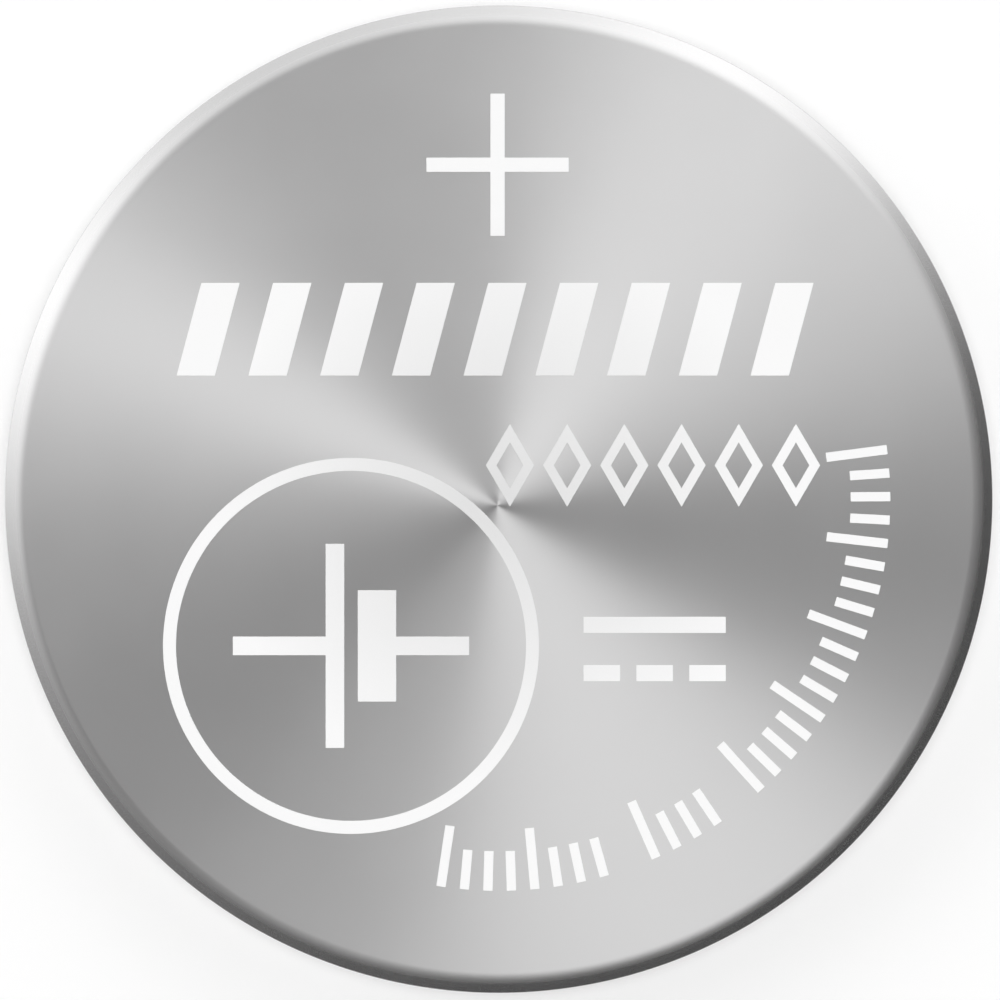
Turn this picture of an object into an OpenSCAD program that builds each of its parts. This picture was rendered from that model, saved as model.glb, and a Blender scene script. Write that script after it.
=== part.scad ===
// Lithium coin cell, 16 mm across and 1.6 mm thick, built as it is crimped together.
// Millimetres. Z is the cell's axis: the negative face lies at z = 0 and the positive face looks up.
// Every round piece is a half section, drawn in X (radius) and Y (height), and turned about the axis.

/* [Cell] */
// Outside diameter, over the can
cell_d = 16.0; // [14:0.1:20]
// Height from the negative face to the positive face
cell_h = 1.6; // [1.5:0.05:2.5]

/* [Positive can] */
// Thickness of the can's sheet
can_t = 0.20; // [0.15:0.01:0.24]
// Outside radius of the edge round the positive face
can_edge_r = 0.35; // [0.28:0.01:0.45]
// Outside radius of the crimp's bend
crimp_r = 0.45; // [0.38:0.01:0.50]
// How far the can's side wall is turned in at the crimp, in degrees
crimp_angle = 84; // [76:1:90]
// Width of the crimped rim, from the side wall to its mouth
crimp_w = 0.85; // [0.75:0.01:0.95]
// How far the crimped rim stays above the negative face
crimp_rise = 0.06; // [0.04:0.01:0.09]

/* [Negative cap] */
// Thickness of the cap's sheet
cap_t = 0.20; // [0.15:0.01:0.22]
// Outside radius of the cap's convex bends
cap_bend_r = 0.25; // [0.24:0.01:0.28]
// Radius of the hollow between the cap's pan and its shoulder
cap_root_r = 0.08; // [0.05:0.01:0.10]
// Height from the negative face to the under side of the shoulder
cap_step_h = 0.45; // [0.40:0.01:0.50]

/* [Gasket] */
// Wall between the cap's skirt and the can
gasket_wall_t = 0.28; // [0.22:0.01:0.32]
// Wall inside the cap's skirt
gasket_inner_t = 0.25; // [0.18:0.01:0.30]
// Floor between the cap's skirt and the can
gasket_floor_t = 0.25; // [0.18:0.01:0.32]
// Width of the lip that shows between the crimped rim and the cap
gasket_lip_w = 0.35; // [0.28:0.01:0.40]
// How far the lip stays above the negative face
gasket_lip_rise = 0.12; // [0.08:0.01:0.18]

/* [Electrodes] */
// Thickness of the lithium disc
lithium_t = 0.27; // [0.20:0.01:0.34]
// Gap round the lithium disc, to the wall of the cap's pan
lithium_gap = 0.40; // [0.35:0.01:0.60]
// Gap round the cathode pellet, to the gasket
pellet_gap = 0.97; // [0.90:0.01:1.30]
// Bevel pressed on the pellet's two edges
pellet_bevel = 0.08; // [0.04:0.01:0.15]

/* [Separator] */
// Thickness of the separator's cloth
separator_t = 0.10; // [0.06:0.01:0.14]
// Width of the slope between the separator's dish and its flange
separator_slope_w = 0.30; // [0.25:0.01:0.35]
// Gap between the separator's edge and the cap's skirt
separator_gap = 0.12; // [0.08:0.01:0.16]

/* [Collector] */
// Thickness of the collector's sheet
collector_t = 0.06; // [0.04:0.01:0.10]
// How far the collector's edge lies inside the pellet's edge
collector_inset = 0.30; // [0.20:0.05:0.60]
// Plain rim left round the openings
collector_rim_w = 0.25; // [0.15:0.05:0.50]
// Length of a diamond opening
opening_l = 0.90; // [0.70:0.05:1.10]
// Width of a diamond opening
opening_w = 0.50; // [0.40:0.05:0.60]
// Width of the strand between two openings
strand_w = 0.12; // [0.08:0.01:0.18]

/* [Hidden] */
$fn = 96;

// Radii of the shell's pieces, from the side wall inwards
can_r = cell_d / 2;
mouth_r = can_r - crimp_w;
pan_r = mouth_r - gasket_lip_w;
skirt_r = can_r - can_t - gasket_wall_t;
skirt_inside_r = skirt_r - cap_t;
gasket_inside_r = skirt_inside_r - gasket_inner_t;

// Centre of the crimp's bend, placed so that the rim's lowest point is at crimp_rise
bend_x = can_r - crimp_r;
lip_l = (bend_x + crimp_r * cos(crimp_angle) - mouth_r) / sin(crimp_angle);
bend_y = crimp_rise + crimp_r * sin(crimp_angle) + lip_l * cos(crimp_angle);

// Heights of the stack, from the negative cap up to the can
can_inside_h = cell_h - can_t;
skirt_h = can_inside_h - gasket_floor_t;
shoulder_h = cap_step_h + cap_t;
lithium_top_h = cap_t + lithium_t;
pellet_h = lithium_top_h + separator_t;
collector_h = can_inside_h - collector_t;

// Radii of the inner pieces
lithium_r = pan_r - cap_t - lithium_gap;
pellet_r = gasket_inside_r - pellet_gap;
collector_r = pellet_r - collector_inset;
separator_r = skirt_inside_r - separator_gap;
dish_r = max(lithium_r, pellet_r);

// Spacing of the collector's openings along and across a row
pitch_x = opening_l + 2 * strand_w;
pitch_y = opening_w + 2 * strand_w;

// A block of a half section, from radius x0 to x1 and from height y0 to y1
module block(x0, x1, y0, y1) {
  polygon([[x0, y0], [x1, y0], [x1, y1], [x0, y1]]);
}

// The quarter disc of a bend, on the outer side of its centre and above it or below it
module bend(x, y, r, above) {
  reach = above ? 2 * r : -2 * r;
  intersection() {
    translate([x, y]) circle(r);
    polygon([[x, y], [x + 2 * r, y], [x + 2 * r, y + reach], [x, y + reach]]);
  }
}

// Everything inside the can's outer surface, with that surface moved in by inset.
// It runs down through the rim's mouth to the negative face.
module can_profile(inset) {
  edge_r = can_edge_r - inset;
  bend_r = crimp_r - inset;
  wall_x = can_r - inset;
  top_y = cell_h - inset;
  // Where the crimp's bend ends, and where the straight rim reaches the mouth
  end = [bend_x + bend_r * cos(crimp_angle), bend_y - bend_r * sin(crimp_angle)];
  mouth_y = end.y - (end.x - mouth_r) / tan(crimp_angle);

  block(0, mouth_r, 0, top_y);
  block(0, wall_x - edge_r, bend_y, top_y);
  block(0, wall_x, bend_y, top_y - edge_r);
  bend(wall_x - edge_r, top_y - edge_r, edge_r, true);
  bend(bend_x, bend_y, bend_r, false);
  polygon([[mouth_r, mouth_y], end, [bend_x, bend_y], [mouth_r, bend_y]]);
}

// Everything inside the cap's outer surface, up to the skirt's edge, with that surface moved in by inset
module cap_profile(inset) {
  bend_r = cap_bend_r - inset;
  root_r = cap_root_r + inset;
  pan_x = pan_r - inset;
  skirt_x = skirt_r - inset;
  pan_y = inset;
  step_y = cap_step_h + inset;

  block(0, pan_x - bend_r, pan_y, skirt_h);
  block(0, pan_x, pan_y + bend_r, skirt_h);
  bend(pan_x - bend_r, pan_y + bend_r, bend_r, false);
  block(0, skirt_x - bend_r, step_y, skirt_h);
  block(0, skirt_x, step_y + bend_r, skirt_h);
  bend(skirt_x - bend_r, step_y + bend_r, bend_r, false);
  // The hollow where the pan's wall turns out into the shoulder
  difference() {
    block(pan_x, pan_x + root_r, step_y - root_r, step_y);
    translate([pan_x + root_r, step_y - root_r]) circle(root_r);
  }
}

// Drawn steel cup, with its rim crimped over the gasket
module positive_can() {
  color("silver")
    rotate_extrude()
      difference() {
        can_profile(0);
        can_profile(can_t);
      }
}

// Pressed steel cap: a flat pan, a shoulder under the crimp and a skirt that the gasket holds
module negative_cap() {
  color("gainsboro")
    rotate_extrude()
      difference() {
        cap_profile(0);
        cap_profile(cap_t);
      }
}

// Moulded sealing ring, which fills what the crimp leaves between the can and the cap
module gasket() {
  color("dimgray")
    rotate_extrude() {
      difference() {
        intersection() {
          can_profile(can_t);
          union() {
            block(pan_r, can_r, gasket_lip_rise, skirt_h);
            block(gasket_inside_r, can_r, skirt_h, can_inside_h);
          }
        }
        cap_profile(0);
      }
      block(gasket_inside_r, skirt_inside_r, shoulder_h + separator_t, can_inside_h);
    }
}

// Disc of lithium foil, pressed on the cap's pan
module lithium_anode() {
  color("lightsteelblue")
    translate([0, 0, cap_t]) cylinder(r = lithium_r, h = lithium_t);
}

// Cloth disc, dished over the lithium, with its flange held between the shoulder and the gasket
module separator() {
  slope_x = dish_r + separator_slope_w;
  color("white")
    rotate_extrude()
      polygon([
        [0, lithium_top_h], [dish_r, lithium_top_h],
        [slope_x, shoulder_h], [separator_r, shoulder_h],
        [separator_r, shoulder_h + separator_t], [slope_x, shoulder_h + separator_t],
        [dish_r, pellet_h], [0, pellet_h]
      ]);
}

// Pressed pellet of manganese dioxide, which takes up the height that the other layers leave
module cathode_pellet() {
  color([0.13, 0.13, 0.14])
    rotate_extrude()
      polygon([
        [0, pellet_h], [pellet_r - pellet_bevel, pellet_h],
        [pellet_r, pellet_h + pellet_bevel], [pellet_r, collector_h - pellet_bevel],
        [pellet_r - pellet_bevel, collector_h], [0, collector_h]
      ]);
}

// One diamond opening of the collector
module opening() {
  polygon([[opening_l / 2, 0], [0, opening_w / 2], [-opening_l / 2, 0], [0, -opening_w / 2]]);
}

// Perforated steel disc between the pellet and the can, with staggered rows of whole openings
module cathode_collector() {
  open_r = collector_r - collector_rim_w;
  reach = opening_l / 2;
  rows = ceil(2 * open_r / pitch_y);
  columns = ceil(open_r / pitch_x);
  color("darkgray")
    translate([0, 0, collector_h])
      linear_extrude(collector_t)
        difference() {
          circle(collector_r);
          for (row = [-rows : rows], column = [-columns : columns]) {
            x = (column + (row % 2 == 0 ? 0 : 0.5)) * pitch_x;
            y = row * pitch_y / 2;
            if (norm([abs(x) + reach, y]) < open_r) translate([x, y]) opening();
          }
        }
}

positive_can();
negative_cap();
gasket();
lithium_anode();
separator();
cathode_pellet();
cathode_collector();
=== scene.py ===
"""Looks for a lithium coin cell that lies on its negative cap, seen from straight above.

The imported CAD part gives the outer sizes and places. The round pieces are turned from their profiles
with Geometry Nodes, the marks on the positive face are thin printed shapes, and every finish is a
procedural node tree. Sizes are in millimetres until a mesh is made, which is in metres.
"""

from __future__ import annotations

import logging
import math
from dataclasses import dataclass
from enum import Enum
from typing import Any, Mapping, Sequence

import bmesh
import bpy
from mathutils import Euler, Matrix, Vector

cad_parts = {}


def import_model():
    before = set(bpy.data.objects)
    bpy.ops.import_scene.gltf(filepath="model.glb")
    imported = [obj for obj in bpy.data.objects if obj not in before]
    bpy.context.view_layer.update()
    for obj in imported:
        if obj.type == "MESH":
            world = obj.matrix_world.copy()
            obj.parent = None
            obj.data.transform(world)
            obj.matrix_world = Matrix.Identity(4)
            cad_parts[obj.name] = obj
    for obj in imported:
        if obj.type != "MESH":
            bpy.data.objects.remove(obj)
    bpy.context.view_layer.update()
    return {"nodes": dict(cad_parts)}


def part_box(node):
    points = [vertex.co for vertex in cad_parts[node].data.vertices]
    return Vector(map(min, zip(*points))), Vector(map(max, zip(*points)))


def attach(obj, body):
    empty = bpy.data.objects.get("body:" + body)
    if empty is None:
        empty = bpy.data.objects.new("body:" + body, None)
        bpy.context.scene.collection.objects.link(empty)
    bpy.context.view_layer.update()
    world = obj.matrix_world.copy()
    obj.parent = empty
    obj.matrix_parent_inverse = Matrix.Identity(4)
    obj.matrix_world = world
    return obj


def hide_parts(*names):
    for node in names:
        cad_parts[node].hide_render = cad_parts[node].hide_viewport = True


LOG = logging.getLogger("coin_cell")
MM = 0.001
BODY = "root"

# Places of a Mix node's two colours and of the mixed one, among sockets of the same names
MIX_LOW, MIX_HIGH, MIX_RESULT = 6, 7, 2

Point = tuple[float, float]
Colour = tuple[float, float, float, float]


def grey(level: float) -> Colour:
    """Returns a neutral colour of that level."""
    return (level, level, level, 1.0)


def toned(colour: Colour, share: float) -> Colour:
    """Returns a colour times a share, with no part above 1."""
    red, green, blue = (min(1.0, part * share) for part in colour[:3])
    return (red, green, blue, 1.0)


def linked(name: str, data: bpy.types.ID) -> bpy.types.Object:
    """Makes an object and links it to the scene.

    Args:
        name: The object's name.
        data: Its mesh, lamp or camera.

    Returns:
        The object.
    """
    made = bpy.data.objects.new(name, data)
    bpy.context.scene.collection.objects.link(made)
    return made


class Signal:
    """An output socket that takes part in Python expressions."""

    def __init__(self, net: "NodeNet", socket: bpy.types.NodeSocket) -> None:
        """Keeps the tree that the socket belongs to, and the socket."""
        self.net = net
        self.socket = socket

    def __add__(self, other: "Signal | float") -> "Signal":
        """Returns self + other."""
        return self.net.math("ADD", self, other)

    __radd__ = __add__

    def __sub__(self, other: "Signal | float") -> "Signal":
        """Returns self - other."""
        return self.net.math("SUBTRACT", self, other)

    def __rsub__(self, other: float) -> "Signal":
        """Returns other - self."""
        return self.net.math("SUBTRACT", other, self)

    def __mul__(self, other: "Signal | float") -> "Signal":
        """Returns self * other."""
        return self.net.math("MULTIPLY", self, other)

    __rmul__ = __mul__

    def __truediv__(self, other: "Signal | float") -> "Signal":
        """Returns self / other."""
        return self.net.math("DIVIDE", self, other)

    def __pow__(self, other: float) -> "Signal":
        """Returns self ** other."""
        return self.net.math("POWER", self, other)

    def __mod__(self, other: "Signal | float") -> "Signal":
        """Returns the remainder of self / other."""
        return self.net.math("MODULO", self, other)

    def clamped(self) -> "Signal":
        """Returns the value kept between 0 and 1."""
        return self.net.math("MINIMUM", self.net.math("MAXIMUM", self, 0.0), 1.0)

    def above(self, level: "Signal | float") -> "Signal":
        """Returns 1 where the value is greater than level, and 0 elsewhere."""
        return self.net.math("GREATER_THAN", self, level)

    def root(self) -> "Signal":
        """Returns the square root."""
        return self.net.math("SQRT", self)

    def swing(self, amount: float) -> "Signal":
        """Returns how far the value is from one half, times an amount."""
        return (self - 0.5) * amount


def off_axis(x: Signal, y: Signal) -> Signal:
    """Returns the distance from the cell's axis."""
    return (x * x + y * y).root()


class NodeNet:
    """A shader or geometry node tree, and the one method that adds its nodes."""

    def __init__(self, tree: bpy.types.NodeTree) -> None:
        """Takes the tree and empties it."""
        tree.nodes.clear()
        self.tree = tree

    def node(
        self,
        kind: str,
        settings: Mapping[str, Any] | None = None,
        inputs: Mapping[int | str, Any] | None = None,
    ) -> bpy.types.Node:
        """Adds a node, sets it and feeds it.

        Args:
            kind: The node's type name.
            settings: The node's own properties, set before its sockets are fed.
            inputs: What each input socket, by name or place, is given: a Signal, a socket or a value.

        Returns:
            The new node.
        """
        made = self.tree.nodes.new(kind)
        for name, value in (settings or {}).items():
            setattr(made, name, value)
        for key, value in (inputs or {}).items():
            if isinstance(value, Signal):
                self.tree.links.new(value.socket, made.inputs[key])
            elif isinstance(value, bpy.types.NodeSocket):
                self.tree.links.new(value, made.inputs[key])
            else:
                made.inputs[key].default_value = value
        return made

    def signal(
        self,
        kind: str,
        output: int | str = 0,
        settings: Mapping[str, Any] | None = None,
        inputs: Mapping[int | str, Any] | None = None,
    ) -> Signal:
        """Adds a node and returns one of its outputs.

        Args:
            kind: The node's type name.
            output: The output socket's name or place.
            settings: The node's own properties.
            inputs: What its input sockets are given.

        Returns:
            The output as a Signal.
        """
        return Signal(self, self.node(kind, settings, inputs).outputs[output])

    def math(self, operation: str, *values: Signal | float) -> Signal:
        """Adds a Math node with that operation on the values."""
        return self.signal("ShaderNodeMath", 0, {"operation": operation}, dict(enumerate(values)))

    def vector(self, operation: str, *values: Any, output: str = "Vector") -> Signal:
        """Adds a Vector Math node with that operation on the values."""
        inputs = dict(enumerate(values))
        return self.signal("ShaderNodeVectorMath", output, {"operation": operation}, inputs)

    def scaled(self, vector: Signal, factor: Signal | float) -> Signal:
        """Returns the vector times a number."""
        inputs = {"Vector": vector, "Scale": factor}
        return self.signal("ShaderNodeVectorMath", 0, {"operation": "SCALE"}, inputs)

    def parts(self, vector: Signal) -> tuple[Signal, Signal, Signal]:
        """Returns the three numbers of a vector."""
        split = self.node("ShaderNodeSeparateXYZ", inputs={"Vector": vector})
        return tuple(Signal(self, socket) for socket in split.outputs)

    def joined(self, x: Any, y: Any, z: Any) -> Signal:
        """Returns the vector of three numbers."""
        return self.signal("ShaderNodeCombineXYZ", inputs={"X": x, "Y": y, "Z": z})

    def mix(self, factor: Signal | float, low: Any, high: Any) -> Signal:
        """Mixes two colours.

        Args:
            factor: The share of the second colour, from 0 to 1.
            low: The first colour.
            high: The second colour.

        Returns:
            The mixed colour as a Signal.
        """
        settings = {"data_type": "RGBA", "clamp_factor": True}
        inputs = {"Factor": factor, MIX_LOW: low, MIX_HIGH: high}
        return self.signal("ShaderNodeMix", MIX_RESULT, settings, inputs)

    def noise(self, place: Signal, scale: float, detail: float = 2.0) -> Signal:
        """Returns Noise Texture's value, from 0 to 1, at a place.

        Args:
            place: The coordinates that it reads.
            scale: How many blotches there are in one unit of them.
            detail: How many finer layers are added.

        Returns:
            The noise as a Signal.
        """
        inputs = {"Vector": place, "Scale": scale, "Detail": detail}
        return self.signal("ShaderNodeTexNoise", "Fac", {"noise_dimensions": "3D"}, inputs)

    def place(self) -> Signal:
        """Returns Object coordinates in millimetres."""
        return self.scaled(self.signal("ShaderNodeTexCoord", "Object"), 1.0 / MM)

    def bump(self, height: Signal, depth: float, normal: Signal | None = None) -> Signal:
        """Returns the normal of a surface with small heights.

        Args:
            height: The height, from 0 to 1.
            depth: The real height of 1, in millimetres.
            normal: The normal that it starts from, if it isn't the surface's own.

        Returns:
            The normal as a Signal.
        """
        inputs: dict[str, Any] = {"Height": height, "Distance": depth * MM, "Strength": 1.0}
        if normal is not None:
            inputs["Normal"] = normal
        return self.signal("ShaderNodeBump", inputs=inputs)


@dataclass(frozen=True)
class Finish:
    """A surface finish, which becomes one material."""

    name: str
    colour: Colour
    roughness: float

    def sockets(self, net: NodeNet) -> dict[str, Any]:
        """Returns what the Principled BSDF's sockets are given; each finish adds its own."""
        return {"Base Color": self.colour, "Roughness": self.roughness}

    def material(self) -> bpy.types.Material:
        """Builds the material of this finish, if it isn't built yet.

        Returns:
            The material.
        """
        title = f"{self.name}_finish"
        if title in bpy.data.materials:
            return bpy.data.materials[title]
        made = bpy.data.materials.new(title)
        made.use_nodes = True
        made.diffuse_color = self.colour
        net = NodeNet(made.node_tree)
        surface = net.node("ShaderNodeBsdfPrincipled", inputs=self.sockets(net))
        net.node("ShaderNodeOutputMaterial", inputs={"Surface": surface.outputs[0]})
        return made


@dataclass(frozen=True)
class SpunSteel(Finish):
    """Drawn stainless steel with a fine circular grain.

    The face's shading normal leans outwards from an apex near the middle, as on metal that was finished
    on a spindle, so that each soft lamp shows as a wedge of sheen. Over the rounded edge the lean grows
    to the slope that the burnished edge keeps until it turns into the wall.
    """

    apex: Point = (-0.02, -0.10)
    lean: float = 0.336
    flattening: float = 0.0052
    edge_slope: float = 0.80
    edge_from: float = 0.70
    edge_growth: float = 1.12
    edge_level: float = 0.26
    edge_roughness: float = 0.22
    wall_level: float = 0.05
    grain_pitch: float = 0.05
    grain_depth: float = 0.0003
    grain_swing: float = 0.03
    patch_scale: float = 0.55
    patch_tone: float = 1.03
    patch_swing: float = 0.02
    anisotropic: float = 0.35
    quarter_turn: float = 0.25

    def sockets(self, net: NodeNet) -> dict[str, Any]:
        """Adds the lean, the grain and faint patches to the plain finish.

        Args:
            net: The material's tree.

        Returns:
            What the shader's sockets are given.
        """
        place = net.place()
        x, y, z = net.parts(place)
        surface = net.signal("ShaderNodeNewGeometry", "Normal")
        level = net.parts(surface)[2]
        outward = net.vector("NORMALIZE", net.joined(x - self.apex[0], y - self.apex[1], 0.0))
        edge = ((1 - level * level).clamped().root() / self.edge_from).clamped()
        radius = off_axis(x, y)
        face_slope = self.lean - radius * self.flattening
        slope = edge**self.edge_growth * (self.edge_slope - face_slope) + face_slope
        raised = net.vector("ADD", net.scaled(outward, slope), (0.0, 0.0, 1.0))
        top = ((level - self.wall_level) / (self.edge_level - self.wall_level)).clamped()
        guided = net.scaled(net.vector("NORMALIZE", raised), top)
        leaned = net.vector("ADD", guided, net.scaled(surface, 1 - top))
        normal = net.vector("NORMALIZE", leaned)
        rings = net.joined(radius / self.grain_pitch, z / self.grain_pitch, 0.0)
        grain = net.noise(rings, 1.0, detail=3.0)
        patches = net.noise(place, self.patch_scale, detail=3.0)
        polish = edge * edge * (self.edge_roughness - self.roughness) + self.roughness
        return {
            "Base Color": net.mix(patches, self.colour, toned(self.colour, self.patch_tone)),
            "Metallic": 1.0,
            "Roughness": polish + grain.swing(self.grain_swing) + patches.swing(self.patch_swing),
            "Anisotropic": self.anisotropic,
            "Anisotropic Rotation": self.quarter_turn,
            "Normal": net.bump(grain, self.grain_depth, normal),
        }


@dataclass(frozen=True)
class PressedSteel(Finish):
    """Stainless sheet with the faint orange peel of a press tool."""

    peel_scale: float = 9.0
    peel_depth: float = 0.0006
    peel_swing: float = 0.08
    patch_scale: float = 0.8
    patch_tone: float = 0.93
    patch_swing: float = 0.06

    def sockets(self, net: NodeNet) -> dict[str, Any]:
        """Adds the peel and slightly duller patches.

        Args:
            net: The material's tree.

        Returns:
            What the shader's sockets are given.
        """
        place = net.place()
        peel = net.noise(place, self.peel_scale, detail=3.0)
        patches = net.noise(place, self.patch_scale)
        uneven = peel.swing(self.peel_swing)
        return {
            "Base Color": net.mix(patches, self.colour, toned(self.colour, self.patch_tone)),
            "Metallic": 1.0,
            "Roughness": self.roughness + uneven + patches.swing(self.patch_swing),
            "Normal": net.bump(peel, self.peel_depth),
        }


@dataclass(frozen=True)
class MouldedPlastic(Finish):
    """Moulded polypropylene with a fine matt grain."""

    grain_scale: float = 14.0
    grain_depth: float = 0.0015
    grain_swing: float = 0.18
    flow_scale: float = 1.1
    flow_tone: float = 1.5

    def sockets(self, net: NodeNet) -> dict[str, Any]:
        """Adds the grain and a faint flow pattern.

        Args:
            net: The material's tree.

        Returns:
            What the shader's sockets are given.
        """
        place = net.place()
        grain = net.noise(place, self.grain_scale, detail=4.0)
        flow = net.noise(place, self.flow_scale, detail=3.0)
        return {
            "Base Color": net.mix(flow, self.colour, toned(self.colour, self.flow_tone)),
            "Roughness": self.roughness + grain.swing(self.grain_swing),
            "Normal": net.bump(grain, self.grain_depth),
        }


@dataclass(frozen=True)
class StreakedMetal(Finish):
    """Sheet metal that was rolled along X, with fine streaks that way."""

    metallic: float = 1.0
    streak_scale: float = 20.0
    streak_stretch: float = 24.0
    streak_depth: float = 0.0008
    streak_swing: float = 0.2
    streak_share: float = 0.5
    cloud_scale: float = 1.3
    cloud_swing: float = 0.1
    dull_tone: float = 0.82

    def sockets(self, net: NodeNet) -> dict[str, Any]:
        """Adds the rolling streaks and clouded patches.

        Args:
            net: The material's tree.

        Returns:
            What the shader's sockets are given.
        """
        place = net.place()
        x, y, z = net.parts(place)
        along = net.joined(x / self.streak_stretch, y, z)
        streaks = net.noise(along, self.streak_scale, detail=3.0)
        clouds = net.noise(place, self.cloud_scale, detail=4.0)
        dull = streaks * self.streak_share + clouds * (1 - self.streak_share)
        uneven = streaks.swing(self.streak_swing)
        return {
            "Base Color": net.mix(dull, self.colour, toned(self.colour, self.dull_tone)),
            "Metallic": self.metallic,
            "Roughness": self.roughness + uneven + clouds.swing(self.cloud_swing),
            "Normal": net.bump(streaks, self.streak_depth),
        }


@dataclass(frozen=True)
class FibreCloth(Finish):
    """Non-woven cloth: fibres laid down in two directions."""

    fibre_scale: float = 30.0
    fibre_stretch: float = 9.0
    fibre_depth: float = 0.012
    gap_share: float = 0.8
    thin_scale: float = 1.6
    dimming_share: float = 0.3
    thin_swing: float = 0.08
    dark_tone: float = 0.86

    def sockets(self, net: NodeNet) -> dict[str, Any]:
        """Adds the fibres and thinner patches.

        Args:
            net: The material's tree.

        Returns:
            What the shader's sockets are given.
        """
        place = net.place()
        x, y, z = net.parts(place)
        one_way = net.noise(net.joined(x / self.fibre_stretch, y, z), self.fibre_scale)
        other_way = net.noise(net.joined(x, y / self.fibre_stretch, z), self.fibre_scale)
        fibres = net.math("MAXIMUM", one_way, other_way)
        thin = net.noise(place, self.thin_scale, detail=3.0)
        shade = (1 - fibres) * self.gap_share + thin * self.dimming_share
        return {
            "Base Color": net.mix(shade, self.colour, toned(self.colour, self.dark_tone)),
            "Roughness": self.roughness + thin.swing(self.thin_swing),
            "Normal": net.bump(fibres, self.fibre_depth),
        }


@dataclass(frozen=True)
class PressedPowder(Finish):
    """A pressed pellet: black powder with a few grains that glint."""

    grain_scale: float = 26.0
    grain_depth: float = 0.006
    glint: Colour = (0.16, 0.16, 0.17, 1.0)
    glint_scale: float = 52.0
    glint_from: float = 0.66
    glint_gain: float = 14.0
    glint_polish: float = 0.35

    def sockets(self, net: NodeNet) -> dict[str, Any]:
        """Adds the grains and the glints.

        Args:
            net: The material's tree.

        Returns:
            What the shader's sockets are given.
        """
        place = net.place()
        grain = net.noise(place, self.grain_scale, detail=4.0)
        sparks = net.noise(place, self.glint_scale, detail=1.0)
        glints = ((sparks - self.glint_from) * self.glint_gain).clamped()
        return {
            "Base Color": net.mix(glints, self.colour, self.glint),
            "Roughness": self.roughness - glints * self.glint_polish,
            "Normal": net.bump(grain, self.grain_depth),
        }


@dataclass(frozen=True)
class FrostedPrint(Finish):
    """Marks printed in frosted white, a little darker towards the middle of the face."""

    full_radius: float = 4.6
    dark_tone: float = 0.73
    dimming_share: float = 0.85
    speckle_scale: float = 40.0
    speckle_depth: float = 0.0006
    speckle_share: float = 0.08
    speckle_swing: float = 0.15
    cloud_scale: float = 0.9
    cloud_share: float = 0.07

    def sockets(self, net: NodeNet) -> dict[str, Any]:
        """Adds the speckle of the frosting and the darker middle.

        Args:
            net: The material's tree.

        Returns:
            What the shader's sockets are given.
        """
        place = net.place()
        x, y, _ = net.parts(place)
        speckle = net.noise(place, self.speckle_scale)
        cloud = net.noise(place, self.cloud_scale)
        # The print's colour is darker towards the middle of the face: cover rises from 0 at the axis to
        # 1 at full_radius.
        cover = (off_axis(x, y) / self.full_radius).clamped()
        uneven = speckle * self.speckle_share
        darkened = (1 - cover) * self.dimming_share + uneven + cloud * self.cloud_share
        return {
            "Base Color": net.mix(darkened, self.colour, toned(self.colour, self.dark_tone)),
            "Roughness": self.roughness + speckle.swing(self.speckle_swing),
            "Normal": net.bump(speckle, self.speckle_depth),
        }


@dataclass(frozen=True)
class StudioFloor(Finish):
    """The pale floor, which camera, glossy and transmission rays see as white.

    Its glow grows away from the cell, where the lamps reach less.
    """

    glow_near: float = 0.39
    glow_far: float = 1.0
    near_radius: float = 60.0
    far_radius: float = 420.0

    def sockets(self, net: NodeNet) -> dict[str, Any]:
        """Adds the glow for the rays that see the background.

        Args:
            net: The material's tree.

        Returns:
            What the shader's sockets are given.
        """
        path = net.node("ShaderNodeLightPath")
        seen = Signal(net, path.outputs["Is Camera Ray"])
        for ray in ("Is Glossy Ray", "Is Transmission Ray"):
            seen = net.math("MAXIMUM", seen, Signal(net, path.outputs[ray]))
        x, y, _ = net.parts(net.place())
        span = self.far_radius - self.near_radius
        far = ((off_axis(x, y) - self.near_radius) / span).clamped()
        glow = net.mix(far, grey(self.glow_near), grey(self.glow_far))
        return {
            "Base Color": self.colour,
            "Roughness": self.roughness,
            "Specular IOR Level": 0.0,
            "Emission Color": net.mix(seen, grey(0.0), glow),
            "Emission Strength": 1.0,
        }


class Finishes(Enum):
    """The finishes of the cell and of its stage."""

    CAN_STEEL = SpunSteel("can_steel", (0.640, 0.638, 0.639, 1.0), 0.33)
    CAP_STEEL = PressedSteel("cap_steel", (0.64, 0.63, 0.61, 1.0), 0.34)
    GASKET_PLASTIC = MouldedPlastic("gasket_plastic", (0.045, 0.045, 0.050, 1.0), 0.48)
    LITHIUM = StreakedMetal("lithium", (0.62, 0.64, 0.67, 1.0), 0.52)
    SEPARATOR_CLOTH = FibreCloth("separator_cloth", (0.86, 0.86, 0.83, 1.0), 0.90)
    CATHODE_MIX = PressedPowder("cathode_mix", (0.028, 0.028, 0.030, 1.0), 0.88)
    COLLECTOR_STEEL = StreakedMetal("collector_steel", (0.55, 0.54, 0.52, 1.0), 0.38)
    FACE_PRINT = FrostedPrint("face_print", (0.95, 0.95, 0.95, 1.0), 0.62)
    FLOOR = StudioFloor("studio_floor", (0.62, 0.62, 0.62, 1.0), 0.9)

    def material(self) -> bpy.types.Material:
        """Returns the finish's material."""
        return self.value.material()


@dataclass(frozen=True)
class Corner:
    """A corner of a turned profile: its radius, its height and the bend that rounds it."""

    r: float
    z: float
    bend: float = 0.0

    def at(self) -> Vector:
        """Returns the corner as a point."""
        return Vector((self.r, self.z))


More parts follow.
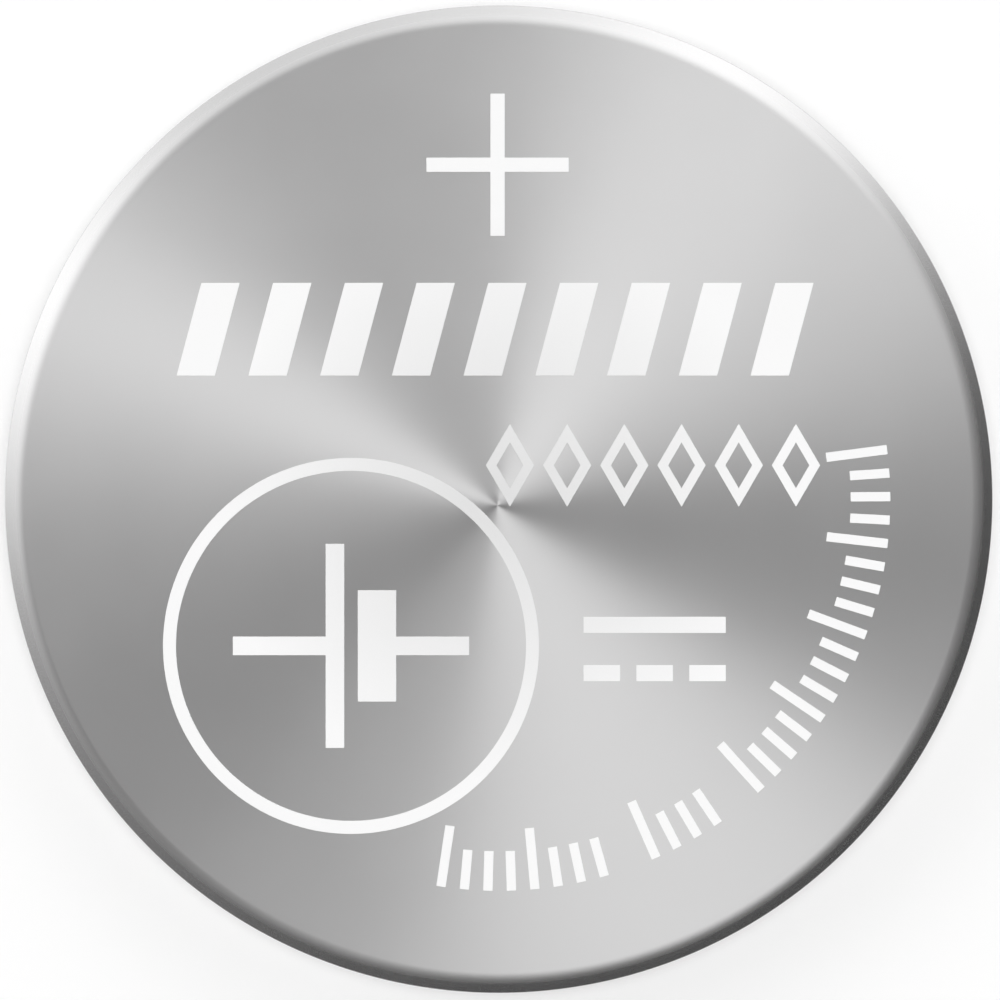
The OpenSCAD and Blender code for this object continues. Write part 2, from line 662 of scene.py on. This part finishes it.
@dataclass(frozen=True)
class Profile:
    """The section of a turned piece, from its axis or round a closed loop."""

    corners: tuple[Corner, ...]
    closed: bool = False
    arc_step: float = math.radians(3.0)

    def rounded(self, before: Corner, corner: Corner, after: Corner) -> list[Vector]:
        """Returns the points that take a corner's place.

        Args:
            before: The corner before it.
            corner: The corner that is rounded.
            after: The corner after it.

        Returns:
            The corner itself, or the points of its bend.
        """
        if corner.bend == 0.0:
            return [corner.at()]
        back = (before.at() - corner.at()).normalized()
        on = (after.at() - corner.at()).normalized()
        half = back.angle(on) / 2.0
        reach = corner.bend / math.tan(half)
        centre = corner.at() + (back + on).normalized() * (corner.bend / math.sin(half))
        start = corner.at() + back * reach - centre
        turn = start.angle_signed(corner.at() + on * reach - centre)
        steps = max(2, math.ceil(abs(turn) / self.arc_step))
        points = []
        for step in range(steps + 1):
            spot = start.copy()
            spot.rotate(Matrix.Rotation(-turn * step / steps, 2))
            points.append(centre + spot)
        return points

    def points(self) -> list[Vector]:
        """Works out the whole path.

        Returns:
            Its points, with the first one again at the end of a closed path.
        """
        corners = list(self.corners)
        path: list[Vector] = []
        for place, corner in enumerate(corners):
            before = corners[place - 1]
            after = corners[(place + 1) % len(corners)]
            path += self.rounded(before, corner, after)
        return path + path[:1] if self.closed else path

    def mesh(self, name: str) -> bpy.types.Mesh:
        """Makes the path a mesh of points and edges in the XZ plane.

        Args:
            name: The mesh's name.

        Returns:
            The mesh, in metres.
        """
        made = bpy.data.meshes.new(name)
        spots = [(spot.x * MM, 0.0, spot.y * MM) for spot in self.points()]
        made.from_pydata(spots, [(n, n + 1) for n in range(len(spots) - 1)], [])
        return made


class GeometryTree:
    """A Geometry Nodes tree with named inputs, and the way to make a plain mesh with it."""

    def __init__(self, name: str, inputs: Mapping[str, str]) -> None:
        """Makes the tree and its sockets.

        Args:
            name: The tree's name.
            inputs: Each input's name and socket type, besides the source geometry and the finish.
        """
        self.tree = bpy.data.node_groups.new(name, "GeometryNodeTree")
        sockets = {"Source": "NodeSocketGeometry", **inputs, "Finish": "NodeSocketMaterial"}
        self.identifiers: dict[str, str] = {}
        for label, kind in sockets.items():
            made = self.tree.interface.new_socket(label, in_out="INPUT", socket_type=kind)
            self.identifiers[label] = made.identifier
        self.tree.interface.new_socket("Piece", in_out="OUTPUT", socket_type="NodeSocketGeometry")
        self.net = NodeNet(self.tree)
        given = self.net.node("NodeGroupInput")
        self.given = {label: Signal(self.net, given.outputs[label]) for label in sockets}

    def end(self, geometry: Signal) -> None:
        """Ends the tree: instances become real, and the finish is set.

        Args:
            geometry: What the tree has made.
        """
        real = self.net.signal("GeometryNodeRealizeInstances", inputs={"Geometry": geometry})
        inputs = {"Geometry": real, "Material": self.given["Finish"]}
        dressed = self.net.signal("GeometryNodeSetMaterial", inputs=inputs)
        self.net.node("NodeGroupOutput", inputs={0: dressed})

    def run(
        self, name: str, source: bpy.types.Mesh, finish: Finishes, values: Mapping[str, Any]
    ) -> bpy.types.Object:
        """Makes a piece with the tree.

        Args:
            name: The piece's name.
            source: The mesh that the tree starts from.
            finish: The piece's finish.
            values: The named inputs' values.

        Returns:
            A plain mesh object, with no modifier.
        """
        piece = linked(name, source)
        modifier = piece.modifiers.new(self.tree.name, "NODES")
        modifier.node_group = self.tree
        for label, value in {**values, "Finish": finish.material()}.items():
            modifier[self.identifiers[label]] = value
        bpy.context.view_layer.update()
        graph = bpy.context.evaluated_depsgraph_get()
        result = bpy.data.meshes.new_from_object(piece.evaluated_get(graph), depsgraph=graph)
        piece.modifiers.clear()
        piece.data = result
        result.name = name
        bpy.data.meshes.remove(source)
        face_outwards(result)
        return piece


def face_outwards(mesh: bpy.types.Mesh) -> None:
    """Turns all the faces of a closed mesh outwards.

    Args:
        mesh: The mesh, which is changed in place.
    """
    work = bmesh.new()
    work.from_mesh(mesh)
    bmesh.ops.recalc_face_normals(work, faces=work.faces)
    work.to_mesh(mesh)
    work.free()


class Lathe(GeometryTree):
    """Turns a profile into a closed round piece."""

    segments = 360
    weld = 1e-7
    crease = math.radians(30.0)

    def __init__(self) -> None:
        """Builds the tree: a grid of profile points by steps of the turn, welded where it closes."""
        sizes = {
            "Segments": "NodeSocketInt",
            "Weld": "NodeSocketFloat",
            "Crease": "NodeSocketFloat",
        }
        super().__init__("turn_profile", sizes)
        net, given = self.net, self.given
        source = {"Geometry": given["Source"]}
        count = net.signal("GeometryNodeAttributeDomainSize", "Point Count", inputs=source)
        counts = {"Vertices X": given["Segments"] + 1, "Vertices Y": count}
        sheet = net.signal("GeometryNodeMeshGrid", "Mesh", inputs=counts)
        index = net.signal("GeometryNodeInputIndex")
        angle = net.math("FLOOR", index / count) / given["Segments"] * math.tau
        spot = net.signal(
            "GeometryNodeSampleIndex",
            "Value",
            {"data_type": "FLOAT_VECTOR", "domain": "POINT"},
            {**source, "Value": net.signal("GeometryNodeInputPosition"), "Index": index % count},
        )
        turned = net.signal(
            "ShaderNodeVectorRotate", 0, {"rotation_type": "Z_AXIS"}, {"Vector": spot, "Angle": angle}
        )
        placed = {"Geometry": sheet, "Position": turned}
        shell = net.signal("GeometryNodeSetPosition", inputs=placed)
        welded = {"Geometry": shell, "Distance": given["Weld"]}
        closed = net.signal("GeometryNodeMergeByDistance", inputs=welded)
        smooth = net.signal(
            "GeometryNodeSetShadeSmooth",
            0,
            {"domain": "FACE"},
            {"Geometry": closed, "Shade Smooth": True},
        )
        sharp = net.signal("GeometryNodeInputMeshEdgeAngle").above(given["Crease"])
        creased = net.signal(
            "GeometryNodeSetShadeSmooth",
            0,
            {"domain": "EDGE"},
            {"Geometry": smooth, "Selection": sharp, "Shade Smooth": False},
        )
        self.end(creased)

    def turn(self, name: str, profile: Profile, finish: Finishes) -> bpy.types.Object:
        """Turns one piece.

        Args:
            name: The piece's name.
            profile: Its section.
            finish: Its finish.

        Returns:
            The piece.
        """
        sizes = {"Segments": self.segments, "Weld": self.weld, "Crease": self.crease}
        return self.run(name, profile.mesh(name), finish, sizes)


class MarkRow(GeometryTree):
    """Repeats a mark along a straight line."""

    def __init__(self) -> None:
        """Builds the tree: points on a line, each with the mark on it."""
        super().__init__("mark_row", {"Count": "NodeSocketInt", "Pitch": "NodeSocketFloat"})
        net, given = self.net, self.given
        steps = {"Count": given["Count"], "Offset": net.joined(given["Pitch"], 0.0, 0.0)}
        line = net.signal("GeometryNodeMeshLine", 0, {"mode": "OFFSET"}, steps)
        inputs = {"Points": line, "Instance": given["Source"]}
        self.end(net.signal("GeometryNodeInstanceOnPoints", inputs=inputs))


class MarkArc(GeometryTree):
    """Repeats a mark round an arc, in three groups with gaps between them."""

    def __init__(self) -> None:
        """Builds the tree: points at steps of an angle, each with the mark turned outwards."""
        sizes = {
            "Count": "NodeSocketInt",
            "Radius": "NodeSocketFloat",
            "Start": "NodeSocketFloat",
            "Step": "NodeSocketFloat",
            "Gap": "NodeSocketFloat",
            "First Group": "NodeSocketInt",
            "Second Group": "NodeSocketInt",
            "Long Every": "NodeSocketInt",
            "Long Scale": "NodeSocketFloat",
        }
        super().__init__("mark_arc", sizes)
        net, given = self.net, self.given
        line = net.signal("GeometryNodeMeshLine", 0, {"mode": "OFFSET"}, {"Count": given["Count"]})
        index = net.signal("GeometryNodeInputIndex")
        past_first = index.above(given["First Group"] - 0.5)
        past_second = index.above(given["First Group"] + given["Second Group"] - 0.5)
        angle = given["Start"] + given["Step"] * index + given["Gap"] * (past_first + past_second)
        across = net.math("COSINE", angle) * given["Radius"]
        up = net.math("SINE", angle) * given["Radius"]
        placed = {"Geometry": line, "Position": net.joined(across, up, 0.0)}
        points = net.signal("GeometryNodeSetPosition", inputs=placed)
        heading = net.joined(0.0, 0.0, angle)
        turned = net.signal("FunctionNodeEulerToRotation", inputs={0: heading})
        short = (index % given["Long Every"]).above(0.5)
        length = given["Long Scale"] + short * (1 - given["Long Scale"])
        inputs = {
            "Points": points,
            "Instance": given["Source"],
            "Rotation": turned,
            "Scale": net.joined(length, 1.0, 1.0),
        }
        self.end(net.signal("GeometryNodeInstanceOnPoints", inputs=inputs))


def carry(piece: bpy.types.Object, slot: str, *nodes: str) -> None:
    """Puts a piece on the cell.

    Args:
        piece: The piece.
        slot: Not used.
        nodes: The CAD nodes that it stands for.
    """
    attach(piece, BODY)
    if nodes:
        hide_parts(*nodes)
    LOG.info("%s: %d faces", piece.name, len(piece.data.polygons))


@dataclass
class PositiveCan:
    """The drawn cup: flat positive face, rounded edge, wall, and a rim curled in over the gasket."""

    radius: float
    height: float
    wall: float = 0.20
    edge_bend: float = 0.35
    crimp_bend: float = 0.45
    crimp_lean: float = math.radians(6.0)
    mouth_radius: float = 7.15
    mouth_height: float = 0.06
    rim_break: float = 0.03

    def inner_crimp(self) -> tuple[Corner, Corner]:
        """Works out the crimp's two inner corners.

        Returns:
            The corner at the mouth and the corner at the wall.
        """
        low = self.mouth_height + self.wall / math.cos(self.crimp_lean)
        inside = self.radius - self.wall
        high = low + (inside - self.mouth_radius) * math.tan(self.crimp_lean)
        bend = self.crimp_bend - self.wall
        return Corner(self.mouth_radius, low, self.rim_break), Corner(inside, high, bend)

    def profile(self) -> Profile:
        """Works out the can's section.

        Returns:
            The section, from the face's middle round to its inside.
        """
        rise = (self.radius - self.mouth_radius) * math.tan(self.crimp_lean)
        lip, heel = self.inner_crimp()
        ceiling = self.height - self.wall
        return Profile(
            (
                Corner(0.0, self.height),
                Corner(self.radius, self.height, self.edge_bend),
                Corner(self.radius, self.mouth_height + rise, self.crimp_bend),
                Corner(self.mouth_radius, self.mouth_height, self.rim_break),
                lip,
                heel,
                Corner(heel.r, ceiling, self.edge_bend - self.wall),
                Corner(0.0, ceiling),
            )
        )

    def build(self, lathe: Lathe) -> None:
        """Turns the can and puts it on the cell."""
        piece = lathe.turn("turned_can", self.profile(), Finishes.CAN_STEEL)
        carry(piece, "can_steel", "positive_can")


@dataclass
class NegativeCap:
    """The pressed cap under the cell: flat pan, root, shoulder and skirt."""

    sheet: float = 0.20
    pan_radius: float = 6.80
    pan_inside: float = 6.60
    pan_bend: float = 0.25
    root_bend: float = 0.08
    step_height: float = 0.45
    skirt_radius: float = 7.52
    skirt_top: float = 1.15
    inner_bend: float = 0.05
    inner_shoulder_bend: float = 0.28

    def profile(self) -> Profile:
        """Works out the cap's section.

        Returns:
            The section, from the negative face round to its inside.
        """
        inside = self.skirt_radius - self.sheet
        shoulder = self.step_height + self.sheet
        return Profile(
            (
                Corner(0.0, 0.0),
                Corner(self.pan_radius, 0.0, self.pan_bend),
                Corner(self.pan_radius, self.step_height, self.root_bend),
                Corner(self.skirt_radius, self.step_height, self.pan_bend),
                Corner(self.skirt_radius, self.skirt_top),
                Corner(inside, self.skirt_top),
                Corner(inside, shoulder, self.inner_bend),
                Corner(self.pan_inside, shoulder, self.inner_shoulder_bend),
                Corner(self.pan_inside, self.sheet, self.inner_bend),
                Corner(0.0, self.sheet),
            )
        )

    def build(self, lathe: Lathe) -> None:
        """Turns the cap and puts it on the cell."""
        piece = lathe.turn("turned_cap", self.profile(), Finishes.CAP_STEEL)
        carry(piece, "cap_steel", "negative_cap")


@dataclass
class Gasket:
    """The moulded ring that fills the room between the can and the cap, and shows as a lip below."""

    can: PositiveCan
    cap: NegativeCap
    inner_radius: float = 7.07
    inner_floor: float = 0.75
    lip_height: float = 0.12
    lip_break: float = 0.03

    def profile(self) -> Profile:
        """Works out the gasket's section.

        Returns:
            The section, a closed loop that follows both steel pieces.
        """
        cap = self.cap
        lip, heel = self.can.inner_crimp()
        ceiling = self.can.height - self.can.wall
        inside = cap.skirt_radius - cap.sheet
        return Profile(
            (
                Corner(cap.pan_radius, self.lip_height, self.lip_break),
                Corner(self.can.mouth_radius, self.lip_height, self.lip_break),
                Corner(lip.r, lip.z),
                heel,
                Corner(heel.r, ceiling, self.can.edge_bend - self.can.wall),
                Corner(self.inner_radius, ceiling),
                Corner(self.inner_radius, self.inner_floor),
                Corner(inside, self.inner_floor),
                Corner(inside, cap.skirt_top),
                Corner(cap.skirt_radius, cap.skirt_top),
                Corner(cap.skirt_radius, cap.step_height, cap.pan_bend),
                Corner(cap.pan_radius, cap.step_height, cap.root_bend),
            ),
            closed=True,
        )

    def build(self, lathe: Lathe) -> None:
        """Turns the gasket and puts it on the cell."""
        piece = lathe.turn("moulded_gasket", self.profile(), Finishes.GASKET_PLASTIC)
        carry(piece, "gasket_plastic", "gasket")


@dataclass
class Electrodes:
    """The pieces inside the cell, whose CAD shapes are right and only get their finishes."""

    finishes: Mapping[str, Finishes]

    def dress(self, nodes: Mapping[str, bpy.types.Object]) -> None:
        """Gives each CAD node its material.

        Args:
            nodes: The CAD nodes, by name.
        """
        for name, finish in self.finishes.items():
            for slot in nodes[name].material_slots:
                slot.material = finish.material()
            LOG.info("%s: CAD shape, %s", name, finish.value.name)


def slab(centre: Point, width: float, height: float, slant: float = 0.0) -> list[Point]:
    """Works out the outline of a rectangle, upright or slanted.

    Args:
        centre: Its middle.
        width: Its size along X.
        height: Its size along Y.
        slant: How far its top is moved along X, and its bottom the other way.

    Returns:
        Its four corners.
    """
    x, y = centre
    half, up = width / 2, height / 2
    return [
        (x - half - slant, y - up),
        (x + half - slant, y - up),
        (x + half + slant, y + up),
        (x - half + slant, y + up),
    ]


def diamond(centre: Point, wide: float, tall: float) -> list[Point]:
    """Returns the outline of a diamond that reaches that far along X and along Y."""
    x, y = centre
    return [(x - wide, y), (x, y - tall), (x + wide, y), (x, y + tall)]


class PrintShape:
    """A closed shape of print, made of loops of points with walls between them."""

    def __init__(self) -> None:
        """Starts an empty shape."""
        self.work = bmesh.new()

    def loop(self, outline: Sequence[Point], z: float) -> list[bmesh.types.BMVert]:
        """Adds an outline at a height, in millimetres, and returns its points."""
        return [self.work.verts.new((x * MM, y * MM, z * MM)) for x, y in outline]

    def cover(self, loop: Sequence[bmesh.types.BMVert]) -> None:
        """Adds the face inside a loop."""
        self.work.faces.new(loop)

    def walls(self, loops: Sequence[Sequence[bmesh.types.BMVert]]) -> None:
        """Adds the faces between each loop and the next.

        Args:
            loops: The loops, each with as many points as the others.
        """
        for one, two in zip(loops, loops[1:]):
            for n in range(len(one)):
                m = (n + 1) % len(one)
                self.work.faces.new((one[n], one[m], two[m], two[n]))

    def mesh(self, name: str) -> bpy.types.Mesh:
        """Ends the shape, with its faces turned outwards.

        Args:
            name: The mesh's name.

        Returns:
            The mesh, in metres.
        """
        bmesh.ops.recalc_face_normals(self.work, faces=self.work.faces)
        made = bpy.data.meshes.new(name)
        self.work.to_mesh(made)
        self.work.free()
        return made


@dataclass
class FaceMarks:
    """The marks on the positive face, as simple shapes of thin frosted print.

    The cell symbol's bars, from left to right, have their place beside the ring's centre, their width
    and their height. The direct current symbol's line is as long as current_parts of its dashes.
    """

    face_height: float
    proud: float = 0.003
    sunk: float = 0.02
    sign_centre: Point = (-0.02, 5.41)
    sign_length: float = 2.30
    sign_bar: float = 0.23
    bars_start: Point = (-4.70, 2.75)
    bars_height: float = 1.50
    bars_width: float = 0.62
    bars_slant: float = 0.20
    bars_count: int = 9
    bars_pitch: float = 1.16
    frames_start: Point = (0.18, 0.55)
    frames_height: float = 1.34
    frames_width: float = 0.78
    frames_line: float = 0.15
    frames_count: int = 6
    frames_pitch: float = 0.925
    ring_centre: Point = (-2.39, -2.37)
    ring_radius: float = 3.04
    ring_line: float = 0.21
    symbol_bars: tuple[tuple[float, float, float], ...] = (
        (-1.16, 1.50, 0.30),
        (-0.26, 0.30, 3.30),
        (0.42, 0.62, 1.80),
        (1.32, 1.18, 0.30),
    )
    current_centre: Point = (2.52, -2.42)
    current_length: float = 2.30
    current_line: float = 0.26
    current_gap: float = 0.78
    current_parts: float = 3.9
    scale_radius: float = 6.33
    scale_start: float = math.radians(-98.5)
    scale_step: float = math.radians(3.45)
    scale_gap: float = math.radians(4.6)
    scale_count: int = 29
    scale_groups: tuple[int, int] = (8, 4)
    scale_tick: float = 0.64
    scale_line: float = 0.15
    scale_long: float = 1.55
    scale_long_every: int = 4

    def span(self) -> Point:
        """Returns the bottom and the top of the print."""
        return self.face_height - self.sunk, self.face_height + self.proud

    def plates(self, name: str, outlines: Sequence[Sequence[Point]]) -> bpy.types.Mesh:
        """Makes closed thin plates of one thickness.

        Args:
            name: The mesh's name.
            outlines: Each plate's outline, in millimetres.

        Returns:
            The mesh, in metres.
        """
        shape = PrintShape()
        for outline in outlines:
            loops = [shape.loop(outline, z) for z in self.span()]
            for loop in loops:
                shape.cover(loop)
            shape.walls(loops)
        return shape.mesh(name)

    def frame(self, name: str, outer: Sequence[Point], inner: Sequence[Point]) -> bpy.types.Mesh:
        """Makes a thin plate with an opening of the same number of corners.

        Args:
            name: The mesh's name.
            outer: The outline, in millimetres.
            inner: The opening's outline.

        Returns:
            The mesh, in metres.
        """
        low, high = self.span()
        places = ((outer, low), (outer, high), (inner, high), (inner, low))
        shape = PrintShape()
        loops = [shape.loop(outline, z) for outline, z in places]
        shape.walls(loops + loops[:1])
        return shape.mesh(name)

    def print_plates(self, name: str, outlines: Sequence[Sequence[Point]]) -> None:
        """Makes one piece of print from plates and puts it on the cell.

        Args:
            name: The piece's name.
            outlines: Each plate's outline.
        """
        mesh = self.plates(name, outlines)
        mesh.materials.append(Finishes.FACE_PRINT.material())
        carry(linked(name, mesh), "face_print")

    def build_sign(self) -> None:
        """Makes the plus sign in one outline."""
        x, y = self.sign_centre
        arm, half = self.sign_length / 2, self.sign_bar / 2
        quarter = [(arm, -half), (arm, half), (half, half)]
        outline: list[Point] = []
        for turn in range(4):
            cosine, sine = math.cos(turn * math.pi / 2), math.sin(turn * math.pi / 2)
            outline += [(x + a * cosine - b * sine, y + a * sine + b * cosine) for a, b in quarter]
        self.print_plates("plus_sign", [outline])

    def build_bars(self, row: MarkRow) -> None:
        """Makes the row of bold slanted bars.

        Args:
            row: The tree that repeats the bar.
        """
        bar = slab(self.bars_start, self.bars_width, self.bars_height, self.bars_slant)
        source = self.plates("bold_bars", [bar])
        values = {"Count": self.bars_count, "Pitch": self.bars_pitch * MM}
        carry(row.run("bold_bars", source, Finishes.FACE_PRINT, values), "face_print")

    def build_frames(self, row: MarkRow) -> None:
        """Makes the row of thin diamond frames.

        Args:
            row: The tree that repeats the frame.
        """
        wide, tall = self.frames_width / 2, self.frames_height / 2
        slope = math.hypot(wide, tall)
        inset_x, inset_y = self.frames_line * slope / tall, self.frames_line * slope / wide
        outer = diamond(self.frames_start, wide, tall)
        inner = diamond(self.frames_start, wide - inset_x, tall - inset_y)
        source = self.frame("thin_frames", outer, inner)
        values = {"Count": self.frames_count, "Pitch": self.frames_pitch * MM}
        carry(row.run("thin_frames", source, Finishes.FACE_PRINT, values), "face_print")

    def build_ring(self, lathe: Lathe) -> None:
        """Turns the ring and moves its mesh to its place.

        Args:
            lathe: The tree that turns it.
        """
        low, high = self.span()
        inside = self.ring_radius - self.ring_line
        corners = [(inside, low), (self.ring_radius, low), (self.ring_radius, high), (inside, high)]
        profile = Profile(tuple(Corner(r, z) for r, z in corners), closed=True)
        ring = lathe.turn("print_ring", profile, Finishes.FACE_PRINT)
        x, y = self.ring_centre
        ring.data.transform(Matrix.Translation((x * MM, y * MM, 0.0)))
        carry(ring, "face_print")

    def build_cell_symbol(self) -> None:
        """Makes the circuit symbol of a cell inside the ring."""
        x, y = self.ring_centre
        plates = [slab((x + aside, y), width, height) for aside, width, height in self.symbol_bars]
        self.print_plates("cell_symbol", plates)

    def build_current_symbol(self) -> None:
        """Makes the direct current symbol: a line over three dashes."""
        x, y = self.current_centre
        dash = self.current_length / self.current_parts
        above, below = y + self.current_gap / 2, y - self.current_gap / 2
        pitch = (self.current_length - dash) / 2
        plates = [slab((x, above), self.current_length, self.current_line)]
        plates += [slab((x + n * pitch, below), dash, self.current_line) for n in (-1, 0, 1)]
        self.print_plates("direct_current", plates)

    def build_scale(self, arc: MarkArc) -> None:
        """Makes the curved row of fine ticks.

        Args:
            arc: The tree that repeats the tick.
        """
        tick = slab((-self.scale_tick / 2, 0.0), self.scale_tick, self.scale_line)
        source = self.plates("curved_ticks", [tick])
        values = {
            "Count": self.scale_count,
            "Radius": self.scale_radius * MM,
            "Start": self.scale_start,
            "Step": self.scale_step,
            "Gap": self.scale_gap,
            "First Group": self.scale_groups[0],
            "Second Group": self.scale_groups[1],
            "Long Every": self.scale_long_every,
            "Long Scale": self.scale_long,
        }
        carry(arc.run("curved_ticks", source, Finishes.FACE_PRINT, values), "face_print")

    def build(self, lathe: Lathe) -> None:
        """Makes all the marks.

        Args:
            lathe: The tree that turns the ring.
        """
        row = MarkRow()
        self.build_sign()
        self.build_bars(row)
        self.build_frames(row)
        self.build_ring(lathe)
        self.build_cell_symbol()
        self.build_current_symbol()
        self.build_scale(MarkArc())


@dataclass(frozen=True)
class SoftLamp:
    """A soft lamp above the cell, seen from the middle of its face.

    Azimuth is counted from +X towards +Y, and polar from straight up. The widths are angles, and the
    distance is in metres.
    """

    name: str
    azimuth: float
    polar: float
    across: float
    along: float
    radiance: float
    distance: float = 0.30

    def width(self, angle: float) -> float:
        """Returns the width, in metres, that fills an angle at the lamp's distance."""
        return 2.0 * self.distance * math.tan(math.radians(angle) / 2.0)

    def build(self) -> None:
        """Makes the lamp, with the power that gives it its radiance."""
        polar, azimuth = math.radians(self.polar), math.radians(self.azimuth)
        x, y = math.sin(polar) * math.cos(azimuth), math.sin(polar) * math.sin(azimuth)
        ray = Vector((x, y, math.cos(polar)))
        data = bpy.data.lights.new(self.name, "AREA")
        data.shape = "ELLIPSE"
        data.size = self.width(self.across)
        data.size_y = self.width(self.along)
        area = math.pi / 4.0 * data.size * data.size_y
        data.energy = self.radiance * math.pi * area
        lamp = linked(self.name, data)
        lamp.location = ray * self.distance
        lamp.rotation_mode = "QUATERNION"
        lamp.rotation_quaternion = (-ray).to_track_quat("-Z", "Y")
        lamp.visible_camera = False


@dataclass(frozen=True)
class HorizonLobe:
    """A bright stretch of the studio's walls, at an azimuth.

    The greater its sharpness, the narrower it is. Its top is the level, from 0 at the floor to 1
    overhead, where it has faded out.
    """

    azimuth: float
    sharpness: float
    strength: float
    top: float


@dataclass(frozen=True)
class Studio:
    """The stage: pale floor, soft walls, lamps and the camera straight above.

    The picture's radius, half width and shift are in pixels, and the clip distances in metres.
    """

    cell_radius: float
    cell_height: float
    edge_bend: float
    floor_half: float = 4000.0
    floor_drop: float = 0.01
    lens: float = 400.0
    sensor: float = 36.0
    clip_near: float = 0.001
    clip_far: float = 20.0
    picture_radius: float = 493.8
    picture_half: float = 500.0
    picture_shift: Point = (-1.2, 0.7)
    wall_tone: float = 0.034
    wall_tint: Colour = (1.0, 0.985, 0.985, 1.0)
    wall_fade: float = 0.16
    ring_tone: float = 0.21
    ring_level: float = 0.57
    ring_width: float = 0.27
    lamps: tuple[SoftLamp, ...] = (
        SoftLamp("lamp_overhead", 90.0, 0.0, 18.0, 18.0, 19.7),
        SoftLamp("lamp_right", 46.5, 37.0, 48.0, 28.0, 0.64),
        SoftLamp("lamp_left", 154.5, 37.0, 17.0, 28.0, 0.74),
        SoftLamp("lamp_front", 297.0, 36.0, 42.0, 28.0, 1.04),
        SoftLamp("lamp_fill", 250.0, 36.0, 26.0, 28.0, 0.31),
    )
    lobes: tuple[HorizonLobe, ...] = (
        HorizonLobe(60.0, 16.0, 1.46, 0.765),
        HorizonLobe(102.0, 17.0, 0.61, 0.80),
        HorizonLobe(156.0, 17.0, 1.12, 0.80),
        HorizonLobe(157.0, 3.0, 0.44, 0.66),
    )

    def build_world(self) -> None:
        """Makes the world: dim walls, a soft ring half way up and the bright stretches."""
        world = bpy.data.worlds.new("studio_walls")
        world.use_nodes = True
        bpy.context.scene.world = world
        net = NodeNet(world.node_tree)
        x, y, z = net.parts(net.signal("ShaderNodeTexCoord", "Generated"))
        level = z.clamped()
        heading = net.vector("NORMALIZE", net.joined(x, y, 0.0))
        ring = (1 - net.math("ABSOLUTE", level - self.ring_level) / self.ring_width).clamped()
        tone = self.wall_tone + ring * self.ring_tone
        for lobe in self.lobes:
            azimuth = math.radians(lobe.azimuth)
            axis = (math.cos(azimuth), math.sin(azimuth), 0.0)
            facing = net.vector("DOT_PRODUCT", heading, axis, output="Value")
            share = (facing * 0.5 + 0.5).clamped() ** lobe.sharpness
            low = ((lobe.top - level) / self.wall_fade).clamped()
            tone = tone + share * low * lobe.strength
        below = 1 - z.above(0.0)
        tone = tone * (1 - below) + below
        colour = net.mix(tone.clamped(), self.wall_tint, grey(1.0))
        wall = net.node("ShaderNodeBackground", inputs={"Color": colour, "Strength": tone})
        net.node("ShaderNodeOutputWorld", inputs={"Surface": wall.outputs[0]})

    def build_floor(self) -> None:
        """Makes the floor just under the cell."""
        half, z = self.floor_half * MM, -self.floor_drop * MM
        mesh = bpy.data.meshes.new("floor")
        spots = [(-half, -half, z), (half, -half, z), (half, half, z), (-half, half, z)]
        mesh.from_pydata(spots, [], [(0, 1, 2, 3)])
        mesh.materials.append(Finishes.FLOOR.material())
        linked("floor", mesh)

    def build_camera(self) -> None:
        """Makes the camera, so that the cell's outline has its place and size in the picture."""
        data = bpy.data.cameras.new("camera")
        data.lens = self.lens
        data.sensor_width = self.sensor
        data.clip_start = self.clip_near
        data.clip_end = self.clip_far
        pixel = self.cell_radius / self.picture_radius
        half_width = pixel * self.picture_half
        distance = half_width * self.lens / (self.sensor / 2.0)
        x, y = (-shift * pixel for shift in self.picture_shift)
        camera = linked("camera", data)
        camera.location = Vector((x, y, self.cell_height - self.edge_bend + distance)) * MM
        camera.rotation_euler = Euler((0.0, 0.0, 0.0))
        bpy.context.scene.camera = camera

    def build(self) -> None:
        """Makes the stage."""
        self.build_world()
        self.build_floor()
        for lamp in self.lamps:
            lamp.build()
        self.build_camera()
        bpy.context.scene.view_settings.view_transform = "Standard"


def main() -> None:
    """Builds the cell's looks and its stage."""
    logging.basicConfig(level=logging.INFO, format="%(message)s")
    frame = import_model()
    can_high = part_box("positive_can")[1]
    can = PositiveCan(radius=can_high.x / MM, height=can_high.z / MM)
    cap = NegativeCap()
    lathe = Lathe()
    can.build(lathe)
    cap.build(lathe)
    Gasket(can, cap).build(lathe)
    electrodes = Electrodes(
        {
            "lithium_anode": Finishes.LITHIUM,
            "separator": Finishes.SEPARATOR_CLOTH,
            "cathode_pellet": Finishes.CATHODE_MIX,
            "cathode_collector": Finishes.COLLECTOR_STEEL,
        }
    )
    electrodes.dress(frame["nodes"])
    FaceMarks(face_height=can.height).build(lathe)
    Studio(can.radius, can.height, can.edge_bend).build()


if __name__ == "__main__":
    main()
